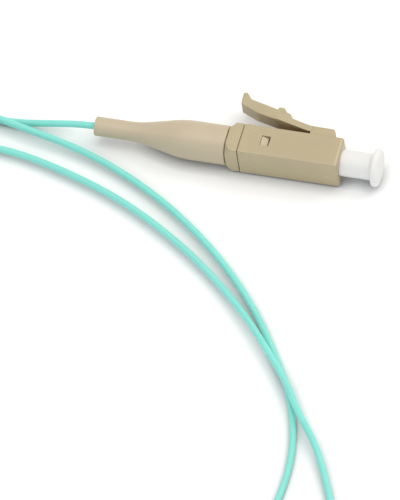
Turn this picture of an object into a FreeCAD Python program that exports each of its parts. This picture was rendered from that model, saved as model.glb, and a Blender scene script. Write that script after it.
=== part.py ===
import FreeCAD, Part
import math
import os

# LC fibre pigtail: a square plug with a side latch, a tapered boot, a dust cap and 0.9 mm fibre.
# Millimetres. The origin is the centre of the plug's nose face, on the ferrule's axis.
# +X points out of the nose, +Y is the latch's side, +Z is up. The pigtail lies on its side.

# ---- plug body -------------------------------------------------------------------------------
plug_side = 4.56            # square section of plug and rear housing
plug_length = 13.2          # nose face to the seam
long_edge = 0.22            # rounding along the body
nose_edge = 0.45            # rounding round the nose face
seam_edge = 0.06            # bevel on each side of the seam
plug_bore = 3.3             # bore for ferrule holder, spring and rear housing
recess_depth = 2.2          # round recess in the nose, which takes an adapter's sleeve
shoulder_thick = 0.7        # wall that stops the ferrule holder
shoulder_hole = 1.9
window_centre = -9.97       # snap window's middle, along X
window_length = 1.16        # along X
window_width = 1.56         # along Y

# ---- latch, as heights above the plug's +Y face -----------------------------------------------
latch_width = 4.4           # root pad, arm, lugs and cross bar
lever_width = 2.0           # thumb lever and nub
pad_front = -1.2            # foot of the pad's rounded nose
pad_nose = 0.5              # length of that nose
pad_height = 1.16           # pad's top at the arm's root
pad_fall = 0.06             # how much lower its top is at the nose
pad_root = 0.5              # depth of the pad's foot inside the body, one moulding with it
pad_lean = 0.2              # how far its nose leans back where it turns
pad_turn = 0.55             # height of that turn, as a share of the pad's
pad_round = 0.35            # rounding of that nose
root_x = -4.85              # flexure axis
root_radius = 0.425         # half the arm's thickness
seat_gap = 0.02             # between the arm's root and its seat
arm_slope = 14.0            # degrees
lug_rear = -9.75            # catching end of the two lugs
lug_height = 2.6            # top of the lugs at that end
bar_rear = -8.5             # full-width cross bar in front of the lugs' tops
bar_front = -7.4
bar_height = 2.68
bar_slant = 0.1             # how far the bar's rear face leans
bar_ramp = 0.4              # length of the ramp in front of its top
bar_drop = 0.24             # and how much lower the ramp starts
bar_round = 0.3             # rounding of that ramp
lug_edge = 0.1              # rounding of lugs and bar
lug_foot_edge = 0.06        # rounding of the lugs' lower corner
bar_foot_edge = 0.08        # rounding where the lugs meet the bar
nub_rear = -9.95
nub_length = 0.83
nub_height = 4.15
lever_under = 2.18          # lever's lower edge where it leaves the lugs
lever_over = 3.78           # lever's upper edge there
lever_slope = 14.7          # degrees, upper edge
lever_under_slope = 13.4    # degrees, lower edge as far as its bend
lever_bend = -12.55
lever_upturn = 24.0         # degrees, lower edge behind the bend
lever_end = -15.0           # rear end of the thumb tip
neck_x = -13.72             # hollow in front of the thumb tip
tip_height = 5.68           # top of the upturned tip
tip_thick = 0.57
tip_round = 0.35            # rounding of the tip's rear corners, seen from above
soft_edge = 0.1             # rounding of the lever's long edges
lever_rooted = 0.45         # how far the lever's foot runs into the lugs
nub_rooted = 0.35           # how far the nub's foot runs into the bar
nub_lean = 0.08             # how far the nub's rear face leans
nub_front_round = 0.3
nub_rear_round = 0.14
nub_foot_round = 0.12
neck_round = 0.5
tip_front_round = 0.16
tip_rear_round = 0.2
tip_fall = 0.06             # how much lower the tip's rear corner is
tip_back = 0.75             # height of the tip's rear face
tip_back_round = 0.8
tip_under = 0.17            # how far the tip's lower corner lies in front of that face
tip_under_round = 0.12
bend_round = 1.5            # rounding of the lower edge's bend

# ---- rear housing ------------------------------------------------------------------------------
collar_length = 1.75        # seam to the collar's rear face
seam_gap = 0.09             # width of the groove at the seam
seam_depth = 0.3
collar_trim = 0.8           # length of the cone that trims its corners
spigot_gap = 0.02           # spigot inside the plug's bore
spigot_length = 4.35        # seam to the spring's seat
post_diameter = 3.0         # post that carries the boot
post_length = 5.2
bead_height = 0.15          # ring that holds the boot
bead_width = 0.8
tube_passage = 1.4          # bore for the guide tube
tab_depth = 0.08            # snap tab's depth under the plug's face, at its rear end
tab_fall = 0.3              # how much deeper its front end is
tab_length = 0.85
tab_gap = 0.04              # tab inside its window

# ---- boot --------------------------------------------------------------------------------------
boot_diameter = 5.1
boot_grip = 6.0             # length of the thick cylinder
boot_taper = 5.9
boot_tail = 5.72
tail_diameter = 2.5
boot_blend = 12.0           # radius that blends the taper into both cylinders
boot_edge = 0.22
boot_seam = 0.12            # gap between the collar's rear face and the boot
boot_gap = 0.03             # bore over the post
fibre_room = 1.7            # channel behind the post
fibre_room_length = 1.6
tail_edge = 0.13

# ---- ferrule, holder, spring and guide tube ------------------------------------------------------
ferrule_diameter = 1.25
ferrule_length = 6.4
ferrule_reach = 1.9         # tip in front of the nose face
ferrule_bevel = 0.18
ferrule_bevel_round = 0.08
ferrule_tip_round = 0.05
fibre_bore = 0.14
glass_diameter = 0.125
holder_flats = 2.6          # hexagonal flange across flats
flange_thick = 1.0
flange_bevel = 0.25         # bevel on the flange's front corners
holder_tail = 1.6
holder_tail_length = 3.5
ferrule_travel = 0.8        # how far the ferrule is pushed in
buffer_clearance = 0.05     # round the buffer, on radius
guide_wall = 0.1            # guide tube's wall
guide_seat = 1.8            # guide tube's length inside the holder
spring_wire = 0.25
spring_mean = 2.1
spring_turns = 7.0
spring_parts = 12           # arcs in the wire's section
spring_gap = 0.03           # between each end and its seat

# ---- dust cap -----------------------------------------------------------------------------------
cap_barrel = 3.45
cap_reach = 5.03            # end face in front of the nose
cap_flange = 5.0
cap_flange_thick = 0.94
cap_rim = 0.42              # rounding of the flange's rim
cap_neck = 0.4              # hollow rounding behind the flange
cap_cone = 0.12             # how far the flange's rear face leans
cap_gap = 0.05              # barrel inside the nose recess, on radius
cap_end_gap = 0.1           # barrel's end to the recess floor
cap_bore_gap = 0.02         # bore round the ferrule, on radius
cap_bore_room = 0.5         # bore beyond the ferrule's tip
cap_lead = 0.12             # bevel at the barrel's inner end

# ---- fibre ---------------------------------------------------------------------------------------
buffer_diameter = 0.9
cord_start = 2.0            # cord's first point, inside the boot's tail
crossing_gap = 0.12         # between strands where one passes over the other
arc_share = 0.45            # share of each run between two points that an arc may take
stand_off = 0.45            # under the stiff fibre where it springs clear of the floor
coil_turns = 14
coil_radius = 8.0           # middle of the turns
coil_columns = 4
coil_rows = 4
coil_pitch = 0.95           # from turn to turn
coil_centre = (-58.0, -14.3)
tie_width = 2.0
tie_thick = 0.3
tie_inner_round = 0.3       # rounding of the tie's inner side, as it bends round the coil
tie_angle = -90.0           # where the tie is, degrees round the coil

# ---- places that follow from the sizes above -------------------------------------------------------
half = plug_side / 2
seam = -plug_length
collar_end = seam - collar_length
boot_front = collar_end - boot_seam
boot_end = boot_front - boot_grip - boot_taper - boot_tail
floor = -boot_diameter / 2
recess = cap_barrel + 2 * cap_gap
flange_front = -recess_depth - shoulder_thick
flange_back = flange_front - flange_thick
ferrule_back = ferrule_reach - ferrule_length
holder_end = flange_back - holder_tail_length
spring_seat = seam + spigot_length
post_end = collar_end - post_length
buffer_bore = buffer_diameter + 2 * buffer_clearance
guide_outer = buffer_bore + 2 * guide_wall
guide_front = holder_end + guide_seat
guide_back = post_end + 1.5 * ferrule_travel
buffer_front = ferrule_back - ferrule_travel - 0.1
root_y = half + pad_height - root_radius
cord_floor = floor + buffer_diameter / 2
over = cord_floor + buffer_diameter + crossing_gap
clear = cord_floor + stand_off


def vec(x, y, z=0.0):
    return FreeCAD.Vector(x, y, z)


def cylinder(diameter, start, end):
    """A cylinder on the X axis between two places."""
    return Part.makeCylinder(diameter / 2, end - start, vec(start, 0), vec(1, 0))


def slab(points, width):
    """A side profile in X and Y, extruded to both sides of the middle plane."""
    corners = [vec(x, y, -width / 2) for x, y in points]
    face = Part.Face(Part.makePolygon(corners + corners[:1]))
    return face.extrude(vec(0, 0, width))


def spun(edges):
    """A solid of revolution on the X axis, from the edges of its half section."""
    return Part.Face(Part.Wire(edges)).revolve(vec(0, 0), vec(1, 0), 360)


def line(a, b):
    return Part.LineSegment(a, b).toShape()


def rounded(points, radii):
    """The edges of a closed outline in X and Y whose corners are rounded by the given radii."""
    edges = []
    starts = []
    ends = []
    count = len(points)
    for i in range(count):
        here = vec(*points[i])
        before = (vec(*points[i - 1]) - here).normalize()
        after = (vec(*points[(i + 1) % count]) - here).normalize()
        if radii[i] == 0:
            starts.append(here)
            ends.append(here)
            continue
        half_angle = before.getAngle(after) / 2
        reach = radii[i] / math.tan(half_angle)
        bisector = (before + after).normalize()
        middle = here + bisector * (radii[i] / math.sin(half_angle) - radii[i])
        starts.append(here + before * reach)
        ends.append(here + after * reach)
        edges.append((i, Part.Arc(starts[-1], middle, ends[-1]).toShape()))
    arcs = dict(edges)
    outline = []
    for i in range(count):
        if i in arcs:
            outline.append(arcs[i])
        outline.append(line(ends[i], starts[(i + 1) % count]))
    return outline


def square_bar(start, end, side, corner):
    """A square bar along X with rounded long edges."""
    h = side / 2
    flat = rounded([(-h, -h), (h, -h), (h, h), (-h, h)], [corner] * 4)
    face = Part.Face(Part.Wire(flat))
    face.rotate(vec(0, 0), vec(0, 1), 90)
    face.translate(vec(start, 0))
    return face.extrude(vec(end - start, 0))


def nosed_bar(start, end, side, corner, nose):
    """A square bar along X whose front edges are rounded too."""
    h = side / 2
    bar = square_bar(start, end, side, corner)
    front = rounded([(start - 1, -h), (end, -h), (end, h), (start - 1, h)], [0, nose, nose, 0])
    face = Part.Face(Part.Wire(front))
    face.translate(vec(0, 0, -side))
    plan = face.extrude(vec(0, 0, 2 * side))
    upright = plan.copy()
    upright.rotate(vec(0, 0), vec(1, 0), 90)
    return bar.common(plan).common(upright)


def edges_at(shape, x):
    """The outer edges that lie in the plane at x."""
    return [e for e in shape.Edges if abs(e.BoundBox.XMin - x) < 1e-4 and abs(e.BoundBox.XMax - x) < 1e-4]


# ---- sub-parts -------------------------------------------------------------------------------------

def latch_pad():
    """The root pad of the latch, with the round seat that the arm bends in."""
    face = half - pad_root
    top = half + pad_height
    seat_front = root_x + 0.5 * root_radius
    outline = [(pad_front, face), (pad_front, half), (pad_front - pad_lean, half + pad_turn * pad_height),
               (pad_front - pad_nose, top - pad_fall), (root_x, top), (root_x, root_y),
               (seat_front, root_y - root_radius), (seat_front, face)]
    pad = Part.Face(Part.Wire(rounded(outline, [0, 0, pad_round, pad_round, 0, 0, 0, 0])))
    pad.translate(vec(0, 0, -latch_width / 2))
    pad = pad.extrude(vec(0, 0, latch_width))
    seat = Part.makeCylinder(root_radius + seat_gap, latch_width + 2, vec(root_x, root_y, -half - 1))
    return pad.cut(seat)


def front_housing():
    body = nosed_bar(seam, 0, plug_side, long_edge, nose_edge)
    body = body.makeChamfer(seam_edge, edges_at(body, seam))
    body = body.fuse(latch_pad())
    body = body.cut(cylinder(recess, -recess_depth, 1))
    body = body.cut(cylinder(shoulder_hole, flange_front, 0))
    body = body.cut(cylinder(plug_bore, seam - 1, flange_front))
    window = Part.makeBox(window_length, window_width, plug_side + 2,
                          vec(window_centre - window_length / 2, -window_width / 2, -half - 1))
    return body.cut(window).removeSplitter()


def raised(outline, radii, width):
    """A solid from a side outline, given as places along X and heights over the plug's +Y face."""
    face = Part.Face(Part.Wire(rounded([(x, half + h) for x, h in outline], radii)))
    face.translate(vec(0, 0, -width / 2))
    return face.extrude(vec(0, 0, width))


def side_edges(shape, width):
    """The edges in the two side planes of a solid made by raised."""
    return [e for e in shape.Edges if abs(abs(e.CenterOfMass.z) - width / 2) < 1e-6]


def bent_arm():
    """The full-width part of the latch: arm, lugs and cross bar."""
    lean = math.radians(arm_slope)
    rise = math.tan(lean)
    root = pad_height - root_radius
    low = (root_x - root_radius * math.sin(lean), root - root_radius * math.cos(lean))
    high = (root_x + root_radius * math.sin(lean), root + root_radius * math.cos(lean))
    lug_foot = lug_rear + (lug_height - low[1] - (low[0] - lug_rear) * rise) * rise
    outline = [(root_x, root), low, (lug_foot, low[1] + (low[0] - lug_foot) * rise),
               (lug_rear, lug_height),
               (bar_rear, lug_height - (bar_rear - lug_rear) * rise), (bar_rear + bar_slant, bar_height),
               (bar_front - bar_ramp, bar_height - bar_drop),
               (bar_front, high[1] + (high[0] - bar_front) * rise), high]
    arm = raised(outline, [0, 0, lug_foot_edge, lug_edge, bar_foot_edge, lug_edge,
                           bar_round, bar_round, 0], latch_width)
    root_round = Part.makeCylinder(root_radius, latch_width, vec(root_x, root_y, -latch_width / 2))
    return arm.fuse(root_round)


def thumb_lever():
    """The narrow part of the latch: nub, lever and upturned thumb tip."""
    over = math.tan(math.radians(lever_slope))
    under = math.tan(math.radians(lever_under_slope))
    upturn = math.tan(math.radians(lever_upturn))
    foot = bar_rear + nub_rooted
    inside = lug_rear + lever_rooted
    bend = lever_under + (nub_rear - lever_bend) * under
    outline = [(foot, lever_under - 0.2), (foot, bar_height - 0.05), (nub_rear + nub_length, nub_height),
               (nub_rear + nub_lean, nub_height), (nub_rear, lever_over),
               (neck_x, lever_over + (nub_rear - neck_x) * over), (lever_end + tip_thick, tip_height),
               (lever_end, tip_height - tip_fall), (lever_end, tip_height - tip_back),
               (lever_end + tip_under, bend + (lever_bend - lever_end - tip_under) * upturn),
               (lever_bend, bend),
               (inside, lever_under - (inside - nub_rear) * under)]
    lever = raised(outline, [0, 0, nub_front_round, nub_rear_round, nub_foot_round, neck_round,
                             tip_front_round, tip_rear_round, tip_back_round, tip_under_round, bend_round, 0],
                   lever_width)
    lever = lever.makeFillet(soft_edge, side_edges(lever, lever_width))
    h = lever_width / 2
    plan = rounded([(lever_end, -h), (0, -h), (0, h), (lever_end, h)], [tip_round, 0, 0, tip_round])
    plan = Part.Face(Part.Wire(plan))
    plan.rotate(vec(0, 0), vec(1, 0), 90)
    plan.translate(vec(0, half + tip_height + 1))
    return lever.common(plan.extrude(vec(0, -tip_height - 2)))


def latch_arm():
    return bent_arm().fuse(thumb_lever()).removeSplitter()


def rear_housing():
    """Collar, spigot with two snap tabs, and the post for the boot."""
    collar = square_bar(collar_end, seam - seam_gap, plug_side, long_edge)
    collar = collar.makeChamfer(seam_edge, edges_at(collar, seam - seam_gap))
    collar = collar.fuse(square_bar(collar_end, seam, plug_side - 2 * seam_depth, long_edge))
    corner = half * math.sqrt(2)
    grip = boot_diameter / 2
    trim = spun([line(vec(collar_end, 0), vec(collar_end, grip)),
                 line(vec(collar_end, grip), vec(collar_end + collar_trim, corner)),
                 line(vec(collar_end + collar_trim, corner), vec(seam, corner)),
                 line(vec(seam, corner), vec(seam, 0)),
                 line(vec(seam, 0), vec(collar_end, 0))])
    collar = collar.common(trim)
    spigot = plug_bore - 2 * spigot_gap
    body = collar.fuse(cylinder(spigot, seam - 0.1, spring_seat))
    body = body.fuse(cylinder(post_diameter, post_end, collar_end))
    bead_x = collar_end - post_length / 2
    body = body.fuse(cylinder(post_diameter + 2 * bead_height,
                              bead_x - bead_width / 2, bead_x + bead_width / 2))
    tab_rear = window_centre - window_length / 2 + tab_gap
    tab = slab([(tab_rear, 0), (tab_rear, half - tab_depth),
                (tab_rear + tab_length, half - tab_depth - tab_fall), (tab_rear + tab_length, 0)],
               window_width - 2 * tab_gap)
    for turn in (90, -90):
        one = tab.copy()
        one.rotate(vec(0, 0), vec(1, 0), turn)
        body = body.fuse(one)
    return body.cut(cylinder(tube_passage, post_end - 1, spring_seat + 1)).removeSplitter()


def boot():
    """A tapered strain relief, pushed over the rear housing's post."""
    grip = boot_diameter / 2
    tail = tail_diameter / 2
    taper_start = boot_front - boot_grip
    taper_end = taper_start - boot_taper
    outline = [(boot_front, 0), (boot_front, grip), (taper_start, grip), (taper_end, tail),
               (boot_end, tail), (boot_end, 0)]
    body = spun(rounded(outline, [0, boot_edge, boot_blend, boot_blend, tail_edge, 0]))
    body = body.cut(cylinder(post_diameter + 2 * boot_gap, post_end - boot_gap, collar_end + 1))
    bead_x = collar_end - post_length / 2
    groove = bead_width + 2 * boot_gap
    body = body.cut(cylinder(post_diameter + 2 * bead_height + 2 * boot_gap,
                             bead_x - groove / 2, bead_x + groove / 2))
    body = body.cut(cylinder(fibre_room, post_end - fibre_room_length, post_end))
    return body.cut(cylinder(buffer_bore, boot_end - 1, post_end))


def ferrule():
    r = ferrule_diameter / 2
    outline = [(ferrule_back, 0), (ferrule_back, r), (ferrule_reach - ferrule_bevel, r),
               (ferrule_reach, r - ferrule_bevel), (ferrule_reach, 0)]
    body = spun(rounded(outline, [0, 0, ferrule_bevel_round, ferrule_tip_round, 0]))
    return body.cut(cylinder(fibre_bore, ferrule_back - 1, ferrule_reach + 1))


def glass_fibre():
    return cylinder(glass_diameter, ferrule_back, ferrule_reach)


def ferrule_holder():
    """Hexagonal flange and tail that carry the ferrule, the spring and the guide tube."""
    corner = holder_flats / math.sqrt(3)
    hexagon = [vec(0, corner * math.cos(math.radians(60 * i)), corner * math.sin(math.radians(60 * i)))
               for i in range(6)]
    flange = Part.Face(Part.makePolygon(hexagon + hexagon[:1])).extrude(vec(-flange_thick, 0))
    flange.translate(vec(flange_front, 0))
    bevel = spun([line(vec(flange_back, 0), vec(flange_back, corner)),
                  line(vec(flange_back, corner), vec(flange_front - flange_bevel, corner)),
                  line(vec(flange_front - flange_bevel, corner), vec(flange_front, corner - flange_bevel)),
                  line(vec(flange_front, corner - flange_bevel), vec(flange_front, 0)),
                  line(vec(flange_front, 0), vec(flange_back, 0))])
    body = flange.common(bevel).fuse(cylinder(holder_tail, holder_end, flange_back))
    body = body.cut(cylinder(ferrule_diameter, ferrule_back, flange_front + 1))
    body = body.cut(cylinder(buffer_bore, holder_end - 1, ferrule_back))
    return body.cut(cylinder(guide_outer, holder_end - 1, guide_front)).removeSplitter()


def guide_tube():
    return cylinder(guide_outer, guide_back, guide_front).cut(
        cylinder(buffer_bore, guide_back - 1, guide_front + 1))


def spring():
    """Compression spring between the holder's flange and the rear housing's spigot."""
    length = flange_back - spring_seat - spring_wire - 2 * spring_gap
    helix = Part.makeHelix(length / spring_turns, length, spring_mean / 2)
    wire = Part.Wire(helix.Edges)
    part = 360 / spring_parts
    ring = Part.Wire([Part.makeCircle(spring_wire / 2, vec(spring_mean / 2, 0), vec(0, 1),
                                      i * part, (i + 1) * part) for i in range(spring_parts)])
    coil = wire.makePipeShell([ring], True, True)
    coil.rotate(vec(0, 0), vec(0, 1), 90)
    coil.translate(vec(spring_seat + spring_gap + spring_wire / 2, 0))
    return coil


def dust_cap():
    r = cap_barrel / 2
    flange = cap_flange / 2
    inner = -recess_depth + cap_end_gap
    back = cap_reach - cap_flange_thick
    outline = [(inner, 0), (inner, r - cap_lead), (inner + cap_lead, r), (back, r), (back + cap_cone, flange),
               (cap_reach, flange), (cap_reach, 0)]
    body = spun(rounded(outline, [0, 0, 0, cap_neck, cap_rim, cap_rim, 0]))
    bore = ferrule_diameter + 2 * cap_bore_gap
    return body.cut(cylinder(bore, inner - 1, ferrule_reach + cap_bore_room))


def inner_buffer():
    """The straight end of the buffered fibre, from the ferrule's holder to the cord's first point."""
    return cylinder(buffer_diameter, boot_end + cord_start, buffer_front)


# ---- free fibre ------------------------------------------------------------------------------------

CORD_ROUTE = [
    (boot_end + cord_start, 0.0, 0.0), (-34.4, 0.0, 0.0), (-38.3, 0.05, -0.9),
    (-43.2, 0.15, cord_floor), (-48.9, 0.1, cord_floor), (-54.6, -1.2, cord_floor),
    (-60.0, -2.0, cord_floor), (-64.8, 0.4, cord_floor), (-66.3, 5.4, cord_floor),
    (-62.9, 9.5, cord_floor), (-57.8, 9.1, cord_floor), (-54.2, 5.4, cord_floor + 0.2),
    (-51.2, 1.5, over), (-46.4, -0.2, over), (-41.3, -1.4, over), (-34.8, -2.8, cord_floor + 0.7),
    (-28.3, -5.2, clear), (-21.2, -9.15, clear), (-14.55, -14.2, clear), (-9.15, -19.45, clear),
    (-4.75, -24.7, cord_floor + 0.15), (-1.6, -29.6, cord_floor), (1.5, -34.5, cord_floor),
    (3.7, -40.6, cord_floor), (4.5, -45.7, cord_floor), (4.4, -50.7, cord_floor), (3.8, -55.4, cord_floor),
    (3.6, -59.5, cord_floor), (3.65, -63.9, cord_floor), (6.75, -67.0, cord_floor),
    (11.1, -66.95, cord_floor), (14.15, -63.9, cord_floor), (14.2, -59.5, cord_floor),
    (12.9, -55.1, cord_floor), (11.1, -50.6, cord_floor), (9.1, -46.3, cord_floor + 0.3),
    (7.0, -42.4, cord_floor + 0.7), (3.6, -38.1, over), (1.0, -33.85, over), (-2.45, -29.7, over),
    (-6.05, -25.4, cord_floor + 0.8), (-10.3, -21.1, clear), (-15.65, -16.65, clear),
    (-22.15, -12.3, clear), (-28.8, -8.9, clear), (-36.0, -6.35, clear), (-42.55, -4.65, clear),
    (-50.2, -4.2, cord_floor + 0.3), (-55.6, -5.2, cord_floor)]


def cord_path(route):
    """Straight runs joined by arcs as large as the runs allow, with the arcs' radii."""
    points = [vec(*p) for p in route]
    edges = []
    radii = []
    last = points[0]
    for before, here, after in zip(points, points[1:], points[2:]):
        inward = (here - before).normalize()
        outward = (after - here).normalize()
        turn = inward.getAngle(outward)
        reach = arc_share * min(here.distanceToPoint(before), after.distanceToPoint(here))
        radius = reach / math.tan(turn / 2)
        start = here - inward * reach
        end = here + outward * reach
        side = (outward - inward).normalize()
        middle = here + side * (radius / math.cos(turn / 2) - radius)
        edges.append(line(last, start))
        edges.append(Part.Arc(start, middle, end).toShape())
        radii.append(radius)
        last = end
    edges.append(line(last, points[-1]))
    return Part.Wire(edges), radii


def fibre_cord():
    path, radii = cord_path(CORD_ROUTE)
    start = vec(*CORD_ROUTE[0])
    heading = vec(*CORD_ROUTE[1]) - start
    ring = Part.Wire(Part.makeCircle(buffer_diameter / 2, start, heading))
    tube = path.makePipeShell([ring], True, False)
    section = math.pi * buffer_diameter ** 2 / 4
    print("cord arcs' radii", [round(r, 1) for r in radii], "smallest", round(min(radii), 2))
    print("cord length", round(path.Length, 1), "volume / (section x length)",
          round(tube.Volume / (section * path.Length), 4), "valid", tube.isValid())
    return tube


def coil_section(extra):
    """Half width and height of the coil's section, grown on every side."""
    width = (coil_columns - 1) * coil_pitch + buffer_diameter + 2 * extra
    height = (coil_rows - 1) * coil_pitch + buffer_diameter + 2 * extra
    return width, height


def fibre_coil():
    """The outer shape of the put-away turns, one ring with rounded edges."""
    width, height = coil_section(0)
    low = coil_radius - width / 2
    high = coil_radius + width / 2
    r = buffer_diameter / 2
    outline = rounded([(low, 0), (high, 0), (high, height), (low, height)], [r] * 4)
    face = Part.Face(Part.Wire(outline))
    face.rotate(vec(0, 0), vec(1, 0), 90)
    ring = face.revolve(vec(0, 0), vec(0, 0, 1), 360)
    ring.translate(vec(coil_centre[0], coil_centre[1], floor))
    print("coil holds", round(coil_turns * 2 * math.pi * coil_radius, 1), "mm in", coil_turns, "turns")
    return ring


def coil_tie():
    """A thin band round the coil's section."""
    width, height = coil_section(0)
    outer_width, outer_height = coil_section(tie_thick)
    outer = Part.makeBox(outer_width, tie_width, outer_height,
                         vec(coil_radius - outer_width / 2, -tie_width / 2, -tie_thick))
    outer = outer.makeFillet(tie_thick + tie_inner_round, [e for e in outer.Edges
                                                         if abs(e.BoundBox.YLength - tie_width) < 1e-4])
    outer.rotate(vec(0, 0), vec(0, 0, 1), tie_angle)
    outer.translate(vec(coil_centre[0], coil_centre[1], floor))
    return outer


def save(name, shape):
    solids = shape.Solids
    assert len(solids) == 1 and solids[0].isValid(), name
    solids[0].exportStep("parts/" + name + ".step")
    print(name, "volume", round(solids[0].Volume, 3))


def main():
    os.makedirs("parts", exist_ok=True)
    coil = fibre_coil()
    tie = coil_tie().cut(coil)
    above = Part.makeBox(80, 80, 40, vec(coil_centre[0] - 40, coil_centre[1] - 40, floor))
    save("front_housing", front_housing())
    save("latch_arm", latch_arm())
    save("rear_housing", rear_housing())
    save("boot", boot())
    save("ferrule", ferrule())
    save("glass_fibre", glass_fibre())
    save("ferrule_holder", ferrule_holder())
    save("guide_tube", guide_tube())
    save("spring", spring())
    save("dust_cap", dust_cap())
    save("inner_buffer", inner_buffer())
    save("fibre_cord", fibre_cord())
    save("fibre_coil", coil)
    save("coil_tie", tie.common(above))


main()
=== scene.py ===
import math

import bpy
from mathutils import Matrix, Vector


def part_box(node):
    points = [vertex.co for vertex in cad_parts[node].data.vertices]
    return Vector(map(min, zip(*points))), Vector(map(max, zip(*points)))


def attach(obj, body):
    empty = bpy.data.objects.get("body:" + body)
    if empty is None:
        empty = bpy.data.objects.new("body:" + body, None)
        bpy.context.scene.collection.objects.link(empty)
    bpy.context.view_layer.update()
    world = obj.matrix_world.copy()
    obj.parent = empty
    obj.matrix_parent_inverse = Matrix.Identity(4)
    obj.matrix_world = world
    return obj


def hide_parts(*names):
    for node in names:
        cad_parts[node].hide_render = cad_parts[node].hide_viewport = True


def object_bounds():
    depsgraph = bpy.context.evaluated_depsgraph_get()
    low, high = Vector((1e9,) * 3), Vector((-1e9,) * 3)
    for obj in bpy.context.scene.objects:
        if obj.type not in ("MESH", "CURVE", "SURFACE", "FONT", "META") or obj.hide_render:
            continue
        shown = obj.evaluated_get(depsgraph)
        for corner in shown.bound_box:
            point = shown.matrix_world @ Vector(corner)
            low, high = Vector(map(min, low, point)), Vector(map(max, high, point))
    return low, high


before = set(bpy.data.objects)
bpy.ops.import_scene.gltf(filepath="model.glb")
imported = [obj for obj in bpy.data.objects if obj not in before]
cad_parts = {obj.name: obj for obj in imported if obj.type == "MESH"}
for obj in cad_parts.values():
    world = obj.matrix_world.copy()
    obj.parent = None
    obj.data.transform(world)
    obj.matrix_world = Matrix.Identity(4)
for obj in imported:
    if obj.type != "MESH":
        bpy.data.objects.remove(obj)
cad_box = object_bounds()

MM = 0.001
PER_CM = 0.1 / MM           # how many times a pattern repeats in a centimetre, told per metre

# ---- places from the frame ---------------------------------------------------------------------

FLOOR = cad_box[0][2]
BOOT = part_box("boot")
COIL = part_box("fibre_coil")

# ---- camera ------------------------------------------------------------------------------------

CAMERA_AZIMUTH = math.radians(22.17)
CAMERA_ELEVATION = math.radians(53.5)
CAMERA_ROLL = math.radians(9.6)
CAMERA_DISTANCE = 2.3
CAMERA_LENS = 1298.35
CAMERA_FAR = 20
CAMERA_AIM = Vector((-15.16, -15.22, -2.10)) * MM


def camera():
    """The camera looks down from the side that the latch points away from, rolled a little."""
    az, el, roll = CAMERA_AZIMUTH, CAMERA_ELEVATION, CAMERA_ROLL
    back = Vector((math.sin(az) * math.cos(el), -math.cos(az) * math.cos(el), math.sin(el)))
    level = Vector((math.cos(az), math.sin(az), 0))
    upright = back.cross(level)
    right = level * math.cos(roll) - upright * math.sin(roll)
    up = back.cross(right)
    data = bpy.data.cameras.new("camera")
    data.lens = CAMERA_LENS
    data.clip_end = CAMERA_FAR
    shot = bpy.data.objects.new("camera", data)
    turn = Matrix((right, up, back)).transposed().to_4x4()
    shot.matrix_world = Matrix.Translation(CAMERA_AIM + back * CAMERA_DISTANCE) @ turn
    bpy.context.collection.objects.link(shot)
    bpy.context.scene.camera = shot


# ---- fibre -------------------------------------------------------------------------------------

CORD_DIAMETER = 0.9
CORD_IN_BOOT = 2.0          # how far inside the boot's tail the drawn cord begins
CROSSING_GAP = 0.12         # between two strands where one passes over the other
SPRING_LIFT = 0.45          # how far the stiff strands stand off the table in their middle
CORD_ROUND = 5              # how finely the curve's section is rounded
CORD_STEPS = 6              # steps between two points of the route
CORD_ORDER = 3

CORD_Z = FLOOR / MM + CORD_DIAMETER / 2
OVER = CORD_Z + CORD_DIAMETER + CROSSING_GAP
CLEAR = CORD_Z + SPRING_LIFT
CORD_START = BOOT[0][0] / MM + CORD_IN_BOOT

# From the boot round the left turn, down to the lower loop, and back to the coil. A small number
# added to CORD_Z is a point on the way up to CLEAR or OVER, or down from it.
CORD_ROUTE = [
    (CORD_START, 0.0, 0.0), (-34.4, 0.0, 0.0), (-38.3, 0.05, -0.9), (-43.2, 0.15, CORD_Z),
    (-48.9, 0.1, CORD_Z), (-54.6, -1.2, CORD_Z), (-60.0, -2.0, CORD_Z), (-64.8, 0.4, CORD_Z),
    (-66.3, 5.4, CORD_Z), (-62.9, 9.5, CORD_Z), (-57.8, 9.1, CORD_Z), (-54.2, 5.4, CORD_Z + 0.2),
    (-51.2, 1.5, OVER), (-46.4, -0.2, OVER), (-41.3, -1.4, OVER), (-34.8, -2.8, CORD_Z + 0.7),
    (-28.3, -5.2, CLEAR), (-21.2, -9.15, CLEAR), (-14.55, -14.2, CLEAR), (-9.15, -19.45, CLEAR),
    (-4.75, -24.7, CORD_Z + 0.15), (-1.6, -29.6, CORD_Z), (1.5, -34.5, CORD_Z),
    (3.7, -40.6, CORD_Z), (4.5, -45.7, CORD_Z), (4.4, -50.7, CORD_Z), (3.8, -55.4, CORD_Z),
    (3.6, -59.5, CORD_Z), (3.65, -63.9, CORD_Z), (6.75, -67.0, CORD_Z), (11.1, -66.95, CORD_Z),
    (14.15, -63.9, CORD_Z), (14.2, -59.5, CORD_Z), (12.9, -55.1, CORD_Z), (11.1, -50.6, CORD_Z),
    (9.1, -46.3, CORD_Z + 0.3), (7.0, -42.4, CORD_Z + 0.7), (3.6, -38.1, OVER),
    (1.0, -33.85, OVER), (-2.45, -29.7, OVER), (-6.05, -25.4, CORD_Z + 0.8),
    (-10.3, -21.1, CLEAR), (-15.65, -16.65, CLEAR), (-22.15, -12.3, CLEAR), (-28.8, -8.9, CLEAR),
    (-36.0, -6.35, CLEAR), (-42.55, -4.65, CLEAR), (-50.2, -4.2, CORD_Z + 0.3),
    (-55.6, -5.2, CORD_Z)]

COIL_TURNS = 14
COIL_STEPS = 16             # control points in each turn
COIL_COLUMNS = 4
COIL_PITCH = 0.95
COIL_SHIFT = (0.05, 0.25)   # part of a turn in which it moves to the next column
COIL_CLIMB = (0.55, 0.75)   # part of a turn in which it climbs to the next row


def passed(share, span):
    """0 before a span of a turn, 1 after it, and straight between."""
    return min(1.0, max(0.0, (share - span[0]) / (span[1] - span[0])))


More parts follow.
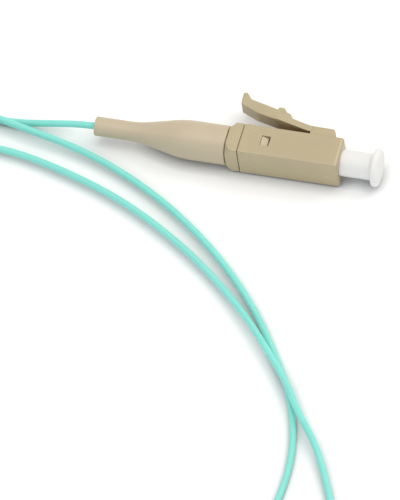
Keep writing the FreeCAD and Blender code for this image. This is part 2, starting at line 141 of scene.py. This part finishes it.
def coil_slot(turn, share):
    """Column and row of the winding, where share of this turn is done."""
    row, place = divmod(turn, COIL_COLUMNS)
    last = place == COIL_COLUMNS - 1
    inward = row % 2 == 0
    column = COIL_COLUMNS - 1 - place if inward else place
    step = -1 if inward else 1
    moved = 0 if place == 0 else 1 - passed(share, COIL_SHIFT)
    climbed = passed(share, COIL_CLIMB) if last else 0
    return column - step * moved, row + climbed


def coil_points():
    """The put-away turns, side by side and in layers, from the point where the cord joins them."""
    centre = [(COIL[0][i] + COIL[1][i]) / 2 / MM for i in range(2)]
    inner = (COIL[1][0] - COIL[0][0]) / 2 / MM - CORD_DIAMETER / 2 - (COIL_COLUMNS - 1) * COIL_PITCH
    spread = 2 / (1 + math.cos(math.pi / COIL_STEPS))
    join = CORD_ROUTE[-1]
    start = math.atan2(join[1] - centre[1], join[0] - centre[0])
    points = []
    for i in range(1, COIL_TURNS * COIL_STEPS):
        turn, step = divmod(i, COIL_STEPS)
        column, row = coil_slot(turn, step / COIL_STEPS)
        radius = (inner + column * COIL_PITCH) * spread
        angle = start + 2 * math.pi * i / COIL_STEPS
        points.append((centre[0] + radius * math.cos(angle), centre[1] + radius * math.sin(angle),
                       CORD_Z + row * COIL_PITCH))
    return points


def fibre():
    """The whole free fibre as one smooth curve, from the boot to its bare end on the coil."""
    data = bpy.data.curves.new("fibre", "CURVE")
    data.dimensions = "3D"
    data.bevel_depth = CORD_DIAMETER / 2
    data.bevel_resolution = CORD_ROUND
    data.resolution_u = CORD_STEPS
    data.use_fill_caps = True
    points = CORD_ROUTE + coil_points()
    spline = data.splines.new("NURBS")
    spline.points.add(len(points) - 1)
    for point, place in zip(spline.points, points):
        point.co = (place[0] * MM, place[1] * MM, place[2] * MM, 1)
        point.radius = MM
    spline.order_u = CORD_ORDER
    spline.use_endpoint_u = True
    piece = bpy.data.objects.new("fibre", data)
    bpy.context.collection.objects.link(piece)
    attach(piece, "plug")
    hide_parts("fibre_cord", "fibre_coil")
    return piece


# ---- materials ---------------------------------------------------------------------------------

CLOUD_SPAN = (0.3, 0.7)     # noise values at which a plastic is at its darkest and its lightest
GLOSS_SPREAD = 0.05         # how far roughness wanders to either side
METAL_GLOSS_SPREAD = 0.06
GRAIN_DEPTH = 0.02
PAINTED_SHADE_SPAN = (0.1, 0.75)  # share of open sky at which the painted shade in seams and corners is full, and gone
PAINTED_SHADE_SAMPLES = 8
RINGS = 60.0                # turned rings in a centimetre
MIX_FACTOR, MIX_A, MIX_B, MIX_RESULT = 0, 6, 7, 2       # a Mix node's sockets for colours


def material(name):
    """A material with an empty node tree."""
    made = bpy.data.materials.new(name)
    made.use_nodes = True
    made.node_tree.nodes.clear()
    return made


def node(tree, kind, **settings):
    """A node with some of its sockets or properties set."""
    made = tree.nodes.new(kind)
    for key, value in settings.items():
        if key in made.inputs:
            made.inputs[key].default_value = value
        else:
            setattr(made, key, value)
    return made


def ramp(tree, source, stops):
    """A colour ramp from (place, colour) stops, fed by a socket."""
    made = tree.nodes.new("ShaderNodeValToRGB")
    bar = made.color_ramp.elements
    while len(bar) < len(stops):
        bar.new(0.5)
    for element, (place, colour) in zip(bar, stops):
        element.position = place
        element.color = (*colour, 1)
    tree.links.new(source, made.inputs["Fac"])
    return made


def output(tree, surface):
    """Sends a shader to the material's output."""
    end = node(tree, "ShaderNodeOutputMaterial")
    tree.links.new(surface.outputs["BSDF"], end.inputs["Surface"])


def wander(tree, pattern, middle, spread):
    """A socket that wanders round a middle value with a pattern."""
    made = node(tree, "ShaderNodeMapRange")
    made.inputs["To Min"].default_value = middle - spread
    made.inputs["To Max"].default_value = middle + spread
    tree.links.new(pattern.outputs["Fac"], made.inputs["Value"])
    return made.outputs["Result"]


def shade(colour, factor):
    return tuple(c * factor for c in colour)


def plastic(name, colour, roughness, mottle=0.03, cloud=2.0, grain=40.0, bump=0.02, specular=0.4,
            subsurface=0.0, radius=(1.0, 0.6, 0.3), scatter=0.3, painted_shade_colour=None, painted_shade_reach=0.8):
    """Moulded plastic: a faint cloudiness in its colour and roughness, a fine spark-eroded grain
    and, when a shade colour is given, painted shade that darkens the colour towards it in seams,
    corners and under overhangs."""
    made = material(name)
    tree = made.node_tree
    place = node(tree, "ShaderNodeTexCoord")
    clouds = node(tree, "ShaderNodeTexNoise", Scale=cloud * PER_CM, Detail=3.0, Roughness=0.5)
    tree.links.new(place.outputs["Object"], clouds.inputs["Vector"])
    tint = ramp(tree, clouds.outputs["Fac"], [(CLOUD_SPAN[0], shade(colour, 1 - mottle)),
                                              (CLOUD_SPAN[1], shade(colour, 1 + mottle))])
    gloss = wander(tree, clouds, roughness, GLOSS_SPREAD)
    fine = node(tree, "ShaderNodeTexNoise", Scale=grain * PER_CM, Detail=2.0)
    tree.links.new(place.outputs["Object"], fine.inputs["Vector"])
    relief = node(tree, "ShaderNodeBump", Strength=bump, Distance=GRAIN_DEPTH * MM)
    tree.links.new(fine.outputs["Fac"], relief.inputs["Height"])
    surface = node(tree, "ShaderNodeBsdfPrincipled")
    surface.inputs["Specular IOR Level"].default_value = specular
    surface.inputs["Subsurface Weight"].default_value = subsurface
    surface.inputs["Subsurface Radius"].default_value = radius
    surface.inputs["Subsurface Scale"].default_value = scatter * MM
    # painted shade: the colour is multiplied by a ramp of the open-sky share, darkening seams,
    # corners and the hollow under an overhang
    if painted_shade_colour:
        open_sky = node(tree, "ShaderNodeAmbientOcclusion", samples=PAINTED_SHADE_SAMPLES,
                        Distance=painted_shade_reach * MM)
        painted_shade_ramp = ramp(tree, open_sky.outputs["AO"], [(PAINTED_SHADE_SPAN[0], painted_shade_colour),
                                                   (PAINTED_SHADE_SPAN[1], (1, 1, 1))])
        painted_shade_mix = node(tree, "ShaderNodeMix", data_type="RGBA", blend_type="MULTIPLY")
        painted_shade_mix.inputs[MIX_FACTOR].default_value = 1.0
        tree.links.new(tint.outputs["Color"], painted_shade_mix.inputs[MIX_A])
        tree.links.new(painted_shade_ramp.outputs["Color"], painted_shade_mix.inputs[MIX_B])
        tree.links.new(painted_shade_mix.outputs[MIX_RESULT], surface.inputs["Base Color"])
    else:
        tree.links.new(tint.outputs["Color"], surface.inputs["Base Color"])
    tree.links.new(gloss, surface.inputs["Roughness"])
    tree.links.new(relief.outputs["Normal"], surface.inputs["Normal"])
    output(tree, surface)
    return made


def metal(name, colour, roughness):
    """Turned metal: fine rings round the X axis."""
    made = material(name)
    tree = made.node_tree
    place = node(tree, "ShaderNodeTexCoord")
    rings = node(tree, "ShaderNodeTexWave", Scale=RINGS * PER_CM, Distortion=0.6, Detail=2.0)
    tree.links.new(place.outputs["Object"], rings.inputs["Vector"])
    surface = node(tree, "ShaderNodeBsdfPrincipled", Metallic=1.0)
    surface.inputs["Base Color"].default_value = (*colour, 1)
    gloss = wander(tree, rings, roughness, METAL_GLOSS_SPREAD)
    tree.links.new(gloss, surface.inputs["Roughness"])
    output(tree, surface)
    return made


BEIGE = (0.412, 0.336, 0.196)
# painted shade for the latch: its colour at full depth, and how far it reaches in mm
LATCH_PAINTED_SHADE = (0.5, 0.36, 0.22)
LATCH_PAINTED_SHADE_REACH = 3.0
BOOT_BEIGE = (0.490, 0.402, 0.275)
MILK = (0.73, 0.72, 0.70)
AQUA = (0.24, 0.67, 0.595)
ZIRCONIA = (0.85, 0.85, 0.82)
NICKEL = (0.62, 0.6, 0.55)
STEEL = (0.45, 0.45, 0.45)
TUBE_WHITE = (0.8, 0.8, 0.76)
GLASS = (0.7, 0.78, 0.8)
TIE_WHITE = (0.75, 0.75, 0.72)
SLIGHTLY_LIGHTER = 1.03     # latch and rear housing beside the plug's body
HOUSING = {"roughness": 0.26, "specular": 0.8}


def dress(name, made):
    """Gives a CAD node its material."""
    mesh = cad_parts[name].data
    mesh.materials.clear()
    mesh.materials.append(made)


def finishes(cord):
    """Each piece gets its material; the buffered fibre has one for its two parts."""
    lighter = shade(BEIGE, SLIGHTLY_LIGHTER)
    dress("front_housing", plastic("housing", BEIGE, **HOUSING))
    # the latch gets painted shade under its lever and in its seams and corners
    dress("latch_arm", plastic("latch", lighter, painted_shade_colour=LATCH_PAINTED_SHADE, painted_shade_reach=LATCH_PAINTED_SHADE_REACH,
                               **HOUSING))
    dress("rear_housing", plastic("rear", lighter, **HOUSING))
    dress("boot", plastic("boot", BOOT_BEIGE, roughness=0.45, specular=0.8, bump=0.03))
    dress("dust_cap", plastic("dust_cap", MILK, roughness=0.42, subsurface=0.3,
                              radius=(1.0, 0.95, 0.85), scatter=0.8))
    dress("ferrule", plastic("zirconia", ZIRCONIA, roughness=0.12, bump=0.0, specular=0.7))
    dress("ferrule_holder", metal("holder", NICKEL, roughness=0.3))
    dress("spring", metal("spring", STEEL, roughness=0.25))
    dress("guide_tube", plastic("guide_tube", TUBE_WHITE, roughness=0.35))
    dress("glass_fibre", plastic("glass", GLASS, roughness=0.1))
    aqua = plastic("fibre_aqua", AQUA, roughness=0.42, mottle=0.02, specular=0.4, subsurface=0.6,
                   radius=(0.5, 1.0, 0.95), scatter=0.5)
    dress("inner_buffer", aqua)
    dress("coil_tie", plastic("tie", TIE_WHITE, roughness=0.5))
    cord.data.materials.append(aqua)


# ---- studio ------------------------------------------------------------------------------------

ROOM_TINT = (0.95, 0.99, 1.06)
ROOM_STRENGTH = 0.71
TABLE_SIZE = 3
TABLE_TONE = 0.94
PAINTED_SHADOW_TONE = 0.57         # the painted shadow's darkest shade on the table, right under a piece
PAINTED_SHADOW_SPAN = (0.3, 1.0)   # share of open sky at which the table has those two tones
PAINTED_SHADOW_REACH = 1.8
PAINTED_SHADOW_SAMPLES = 16

# name, power, colour, diameter, and place beside what the camera looks at
LAMPS = [
    ("key", 1.17, (1.07, 1.0, 0.85), 0.6, (0.15, 0.206, 0.487)),
    ("top", 0.5, (1.05, 1.0, 0.90), 0.3, (-0.11, -0.13, 0.5)),
    ("side", 0.5, (1.04, 1.0, 0.92), 0.4, (0.35, 0.33, 0.36)),
    ("fill", 0.30, (0.88, 0.96, 1.0), 0.35, (0.05, -0.5, 0.12)),
]


def lamp(name, power, tint, size, place):
    """A round soft lamp, placed and turned towards what the camera looks at."""
    data = bpy.data.lights.new(name, "AREA")
    data.energy = power
    data.color = tint
    data.shape = "DISK"
    data.size = size
    made = bpy.data.objects.new(name, data)
    made.location = CAMERA_AIM + Vector(place)
    made.rotation_euler = (-Vector(place)).to_track_quat("-Z", "Y").to_euler()
    bpy.context.collection.objects.link(made)


def room():
    """A pale, slightly cool light from all round."""
    world = bpy.data.worlds.new("room")
    world.use_nodes = True
    light = world.node_tree.nodes["Background"]
    light.inputs["Color"].default_value = (*ROOM_TINT, 1)
    light.inputs["Strength"].default_value = ROOM_STRENGTH
    bpy.context.scene.world = world


def table():
    """A white table with a painted soft shadow that darkens it where a piece stands close above it.
    """
    bpy.ops.mesh.primitive_plane_add(size=TABLE_SIZE, location=(0, 0, FLOOR))
    sheet = bpy.context.active_object
    sheet.name = "table"
    top = material("table")
    tree = top.node_tree
    surface = node(tree, "ShaderNodeBsdfDiffuse")
    # painted shadow: the table's colour darkens with the open-sky share near each piece, standing
    # in for its cast shadow
    open_sky = node(tree, "ShaderNodeAmbientOcclusion", samples=PAINTED_SHADOW_SAMPLES,
                    Distance=PAINTED_SHADOW_REACH * MM)
    painted_shadow = ramp(tree, open_sky.outputs["AO"], [(PAINTED_SHADOW_SPAN[0], (PAINTED_SHADOW_TONE,) * 3),
                                               (PAINTED_SHADOW_SPAN[1], (TABLE_TONE,) * 3)])
    tree.links.new(painted_shadow.outputs["Color"], surface.inputs["Color"])
    output(tree, surface)
    sheet.data.materials.append(top)


def studio():
    """The white table in its pale room, under three soft warm lamps and a weak cool one."""
    room()
    table()
    for facts in LAMPS:
        lamp(*facts)
    view = bpy.context.scene.view_settings
    view.view_transform = "Standard"
    view.look = "None"
    view.exposure = 0
    view.gamma = 1


camera()
cord = fibre()
finishes(cord)
studio()

bpy.context.view_layer.update()
